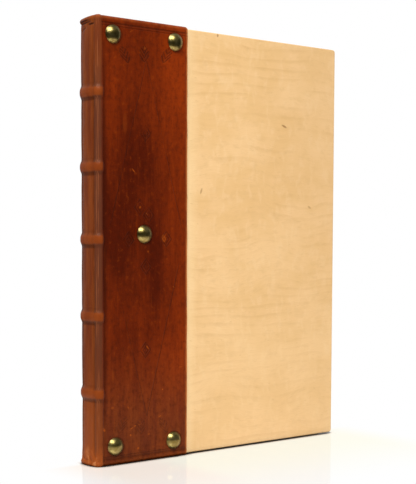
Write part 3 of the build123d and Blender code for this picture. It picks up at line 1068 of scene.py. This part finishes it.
# %% Make the cord and the thread
def make_linen(name, pale, dark, twist):
    """Twisted linen: slanting strands round the cord, dull and a little fuzzy."""
    material, add, shader = new_material(name)
    whole, x, y, z = coordinates(add)
    slant = chain(add, "ADD", y, x, add("Math", z, 0.8, operation="MULTIPLY"))
    turns = add("Math", slant, 2 * math.pi / twist, operation="MULTIPLY")
    strands = add("Math", turns, operation="SINE")
    fuzz = grain(add, whole, 0.4, detail=3)
    base = lay(add, colour(dark), (add("MapRange", strands, -0.8, 0.6, **smooth), pale))
    height = add("Math", add("Math", strands, 0.5, operation="MULTIPLY"), fuzz, operation="ADD")
    bump = add("Bump", named={"Strength": 0.6, "Distance": mm(0.15), "Height": height})
    fill(shader, {"Base Color": base, "Roughness": 0.85, "Normal": bump})
    return material


def make_silk(name, pale, dark):
    """Silk thread: smooth filaments, with a weak sheen at a glancing angle."""
    material, add, shader = new_material(name)
    fuzz = grain(add, coordinates(add)[0], 0.25, detail=3)
    base = lay(add, colour(dark), (add("MapRange", fuzz, 0.3, 0.7, **smooth), pale))
    bump = add("Bump", named={"Strength": 0.5, "Distance": mm(0.05), "Height": fuzz})
    fill(shader, {"Base Color": base, "Roughness": 0.7, "Sheen Weight": 0.2, "Normal": bump})
    return material


linen = make_linen("twisted_linen", "#d9c79c", "#9c8458", mm(0.9))
thread_red = make_silk("madder_silk_thread", "#a2402c", "#7a2a1c")
thread_pale = make_silk("natural_silk_thread", "#e2d3a8", "#b7a374")
print("materials:", len(bpy.data.materials))

# %% [markdown]
# ## The pages
#
# The block of pages is a stack of folded sheets. Each leaf is a thin slab of its own: a flat strip towards
# the fore-edge, and near the spine it fans out into the shoulders that backing gave the sheets. No two
# leaves reach quite as far, and eight leaves together make a section, with a fine gap to the next. One block
# with painted lines would be quicker, but its edges would look flat, also where the light rakes over them. So
# each leaf is a small grid with a thickness, bent by moving its few points, and all are joined in the end.

# %% Make the leaves
leaf_count = 64
leaves_in_section = 8
leaf_pitch = 2 * page_half / leaf_count
shoulder_spread = (pages_high.y - mm(0.4)) / page_half
# How far the leaves fan out by the spine: place from the joint in millimetres and spread.
spine_levels = [(-2.6, shoulder_spread), (-1.2, shoulder_spread), (-0.35, 1.3), (0.8, 1.0)]


def leaf_points(number, rng):
    """The line of a leaf seen from above, from the spine to the fore-edge."""
    middle = (number + 0.5 - leaf_count / 2) * leaf_pitch
    share = abs(middle) / page_half
    points = [(joint_x + mm(far) - mm(0.35) * (1 - share * share) + mm(0.4), middle * spread)
              for far, spread in spine_levels]
    hollow = mm(0.55) * (1 - share * share)
    reach = pages_high.x - hollow - mm(0.35) * rng.random()
    middle_x = (joint_x + reach) / 2
    return points + [(middle_x, middle), (reach, middle)]


def build_leaves():
    rng = random.Random(5)
    strips = []
    for number in range(leaf_count):
        in_section = number % leaves_in_section
        thickness = leaf_pitch * (0.62 if in_section in (0, leaves_in_section - 1) else 0.86)
        low = pages_low.z + mm(0.3) * rng.random()
        high = pages_high.z - mm(0.3) * rng.random()
        leaf = standing_sheet(leaf_points(number, rng), low, high)
        thicken(leaf, thickness)
        strips.append(leaf)
    return join_pieces(strips, "page_leaves", 30)


page_leaves = build_leaves()
print(leaf_count, "leaves,", len(page_leaves.data.polygons), "faces")

# %% [markdown]
# ## The endbands
#
# At head and tail a strip of cord is wound over with two colours of thread. Each turn of the thread is a
# ring round the cord. The rings follow the rounded back, six of one colour and three of the other. A spiral
# would be truer, but its ends never show, and plain rings that lean a little look the same from outside.

# %% Wind the endbands
thread_radius = mm(0.27)
turn_count = 31
turn_lean = 0.06
red_turns, pale_turns = 6, 3
cord_depth = mm(1.95)  # from the face of the back to the middle of the endband's cord


def wind_endband(name, piece_name):
    low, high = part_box(name)
    level = (low.z + high.z) / 2
    radius = (high.z - low.z) / 2
    span = high.y - low.y
    bow = back_radius - cord_depth
    core_x = joint_x - joint_gap - spine_reach + back_radius
    rings = []
    for number in range(turn_count):
        y = low.y + span * (number + 0.5) / turn_count
        x = core_x - math.sqrt(bow * bow - y * y)
        bpy.ops.object.select_all(action="DESELECT")
        bpy.ops.mesh.primitive_torus_add(
            major_segments=14, minor_segments=6, major_radius=radius - thread_radius + mm(0.01),
            minor_radius=thread_radius, location=(x, y, level), rotation=(math.pi / 2, 0, turn_lean))
        ring = bpy.context.object
        red = number % (red_turns + pale_turns) < red_turns
        ring.data.materials.append(thread_red if red else thread_pale)
        rings.append(ring)
    return join_pieces(rings, piece_name, 60)


endbands = {side: wind_endband(f"{side}_endband", f"{side}_endband_thread") for side in ("head", "tail")}
print("endbands wound")

# %% [markdown]
# ## The paper in the joints
#
# A strip of lining paper joins the pages to each board. Closed, it is folded deep into the joint; when the
# board opens, the fold spreads. One leg of the fold stays with the pages and the other goes with the board.
# A flat strip would have to stretch as the board swings. A strip that is folded from the start only opens.

# %% Fold the joint papers
def build_joint_paper(side_name):
    side = -1 if side_name == "front" else 1
    near = page_half * 1000 + 0.1
    far = (half_thickness - skin_thickness) * 1000 - 0.15
    on_board = near + 0.3
    # The fold seen from above: place from the joint line and out from the middle of the book.
    plan = [(-0.14, near), (-0.14, near + 1.7), (-0.14, near + 3.4), (-0.12, far - 0.25), (-0.05, far),
            (0.05, far), (0.12, far - 0.25), (0.14, near + 3.4), (0.14, near + 1.7), (0.15, on_board + 0.1),
            (0.35, on_board), (3.0, on_board), (6.0, on_board)]
    points = [(joint_x + mm(x), side * mm(y)) for x, y in plan]
    paper = standing_sheet(points, pages_low.z, pages_high.z)
    paper.name = f"{side_name}_joint_paper"
    thicken(paper, mm(0.06))
    finish_mesh(paper, 60)
    return paper


joint_papers = {side: build_joint_paper(side) for side in sides}
print("joint papers folded")

# %% [markdown]
# ## Dress the pieces
#
# Each piece gets its material, and the pieces of the frame that it replaces are hidden. On the real book the
# leather bends with its board across the joint. The leaves and the endbands are stiff, and each rides on the
# root body.

# %% Give each piece its material, and the stiff ones their body
def dress(piece, material):
    piece.data.materials.clear()
    piece.data.materials.append(material)


for side in sides:
    dress(skins[side], leather)
    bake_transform(skins[side])
    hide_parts(f"{side}_leather")
    dress(joint_papers[side], lining_paper)
    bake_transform(joint_papers[side])
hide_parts("spine_leather")
dress(page_leaves, pages_paper)
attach(page_leaves, "root")
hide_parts("text_block")
for end, piece in endbands.items():
    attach(piece, "root")
    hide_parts(f"{end}_endband")
# What the frame's pieces are made of, by a word in their names.
made_of = {"board": maple, "nail": brass, "pastedown": lining_paper, "slip": linen, "cord": linen,
           "peg": peg_wood, "text_block": pages_paper, "leather": leather, "endband": linen}
for name, node in nodes.items():
    for word, material in made_of.items():
        if word in name:
            dress(node, material)
print("dressed")

# %% [markdown]
# ## Floor, backdrop and light
#
# The photograph was taken on a pale, slightly glossy table against white. One large soft light hangs high
# on the left, a little in front. The floor and the backdrop show white to the camera without adding light to
# the room. More lamps would make them white as well, but they would wash out the leather and the wood.

# %% Add the light
def add_lamp(name, place, target, size, power):
    data = bpy.data.lights.new(name, "AREA")
    data.shape = "RECTANGLE"
    data.size, data.size_y = size
    data.energy = power
    lamp = bpy.data.objects.new(name, data)
    bpy.context.scene.collection.objects.link(lamp)
    lamp.location = place
    lamp.rotation_euler = (Vector(target) - Vector(place)).to_track_quat("-Z", "Y").to_euler()


add_lamp("key_softbox", (-0.73, -0.66, 1.41), (0, 0, 0.15), (1.1, 0.9), 23)
print("lights:", len(bpy.data.lights))

# %% [markdown]
# The world is a dim grey for the light that it gives, and plain white for the camera and through glass.
# A mirror-like reflection meets white as well where it runs to the backdrop behind the book, and a darker
# room under a paler ceiling where it runs to the photographer's side.

# %% Set the world
world_light = 0.55
room_light = 0.03  # the photographer's side in a reflection, level with the book
ceiling_light = 0.22
backdrop_way = (0.63, 0.78)  # from the book to the backdrop, seen from above


def white_for_camera(add, path, x, y):
    """1 for the rays that show the backdrop as it is, 0 for those that carry light."""
    shares = [add("Math", value, share, operation="MULTIPLY") for value, share in zip((x, y), backdrop_way)]
    backwards = add("MapRange", chain(add, "ADD", *shares), 0.35, 0.75, **smooth)
    mirrored = chain(add, "MULTIPLY", path["Is Glossy Ray"], backwards)
    return strongest(add, [path["Is Camera Ray"], mirrored, path["Is Transmission Ray"]])


def make_world():
    world = bpy.data.worlds.new("studio")
    bpy.context.scene.world = world
    world.use_nodes = True
    tree = world.node_tree
    add = partial(add_node, tree)
    path = add("LightPath").outputs
    _, x, y, z = coordinates(add, "Generated")
    room = add("MapRange", z, 0.1, 1.0, room_light, ceiling_light, **smooth)
    less = add("Math", room, world_light, operation="SUBTRACT")
    strength = add("Math", chain(add, "MULTIPLY", path["Is Glossy Ray"], less), world_light, operation="ADD")
    dim = tree.nodes["Background"]
    fill(dim, {"Color": colour("#ffffff"), "Strength": strength})
    white = add("Background", colour("#ffffff"), 1.0)
    both = add("MixShader", white_for_camera(add, path, x, y), dim, white)
    fill(tree.nodes["World Output"], {"Surface": both})


make_world()
print("world set")

# %% [markdown]
# The table is white, with a weak polish. The camera sees it as plain white, apart from what belongs to the
# book: the dark line right under its edges, where hardly any light gets in, and a breath of the warm colour
# that leather and wood throw in front of them. The dark line comes from how much of the sky each place sees,
# so it follows the covers when they open.

# %% Lay the floor
floor_size = 1.3
table_reach = mm(210)


def make_floor():
    bpy.ops.object.select_all(action="DESELECT")
    bpy.ops.mesh.primitive_plane_add(size=floor_size, location=(0, 0, 0))
    floor = bpy.context.object
    floor.name = "floor"
    material, add, shader = new_material("white_table")
    _, x, y, _ = coordinates(add)
    path = add("LightPath").outputs
    aside = []
    for place, half in ((x, mm(109)), (y, half_thickness - mm(1))):
        far = add("Math", add("Math", place, operation="ABSOLUTE"), half, operation="SUBTRACT")
        aside.append(add("Math", far, 0, operation="MAXIMUM"))
    away = add("Math", squares(add, *aside), operation="SQRT")

    open_sky = add("AmbientOcclusion", named={"Distance": mm(7)}).outputs["AO"]
    hidden = add("MapRange", open_sky, 0.52, 0.86, **smooth)
    table = lay(add, colour("#231d1c"), (hidden, "#faeee0"))
    fill(shader, {"Base Color": table, "Roughness": 0.35})

    warm = lay(add, colour("#fff3e8"), (add("MapRange", x, mm(-80), mm(-50), **smooth), "#fffdee"))
    tint = chain(
        add, "MULTIPLY", add("MapRange", aside[0], 0, mm(45), 1, 0, **smooth),
        add("MapRange", y, mm(-160), mm(-30), **smooth), add("MapRange", y, 0, mm(9), 1, 0, **smooth))
    seen = add("Mix", tint, colour("#ffffff"), warm, data_type="RGBA")
    white = add("Emission", seen, 1.0)
    near = add("MapRange", open_sky, 0.62, 0.98, 0.0, 0.97, **smooth)
    far = add("MapRange", away, mm(12), mm(60), 0.0, 0.03, **smooth)
    share = chain(add, "MULTIPLY", path["Is Camera Ray"], chain(add, "ADD", near, far))
    lit = add("MixShader", share, shader, white)

    # In a mirror the table ends a little way in front of the book.
    beyond = chain(add, "MULTIPLY", path["Is Glossy Ray"],
                   add("MapRange", away, table_reach, table_reach * 1.4, **smooth))
    lit = add("MixShader", beyond, lit, add("BsdfDiffuse", colour("#1c1a18")))
    polish = add("BsdfGlossy", colour("#ffffff"), 0.08)
    shine = chain(add, "MULTIPLY", add("MapRange", away, mm(60), mm(400), 0.12, 0, **smooth), hidden)
    both = add("MixShader", shine, lit, polish)
    fill(material.node_tree.nodes["Material Output"], {"Surface": both})
    dress(floor, material)


make_floor()
bpy.context.scene.view_settings.view_transform = "Standard"
print("floor laid")
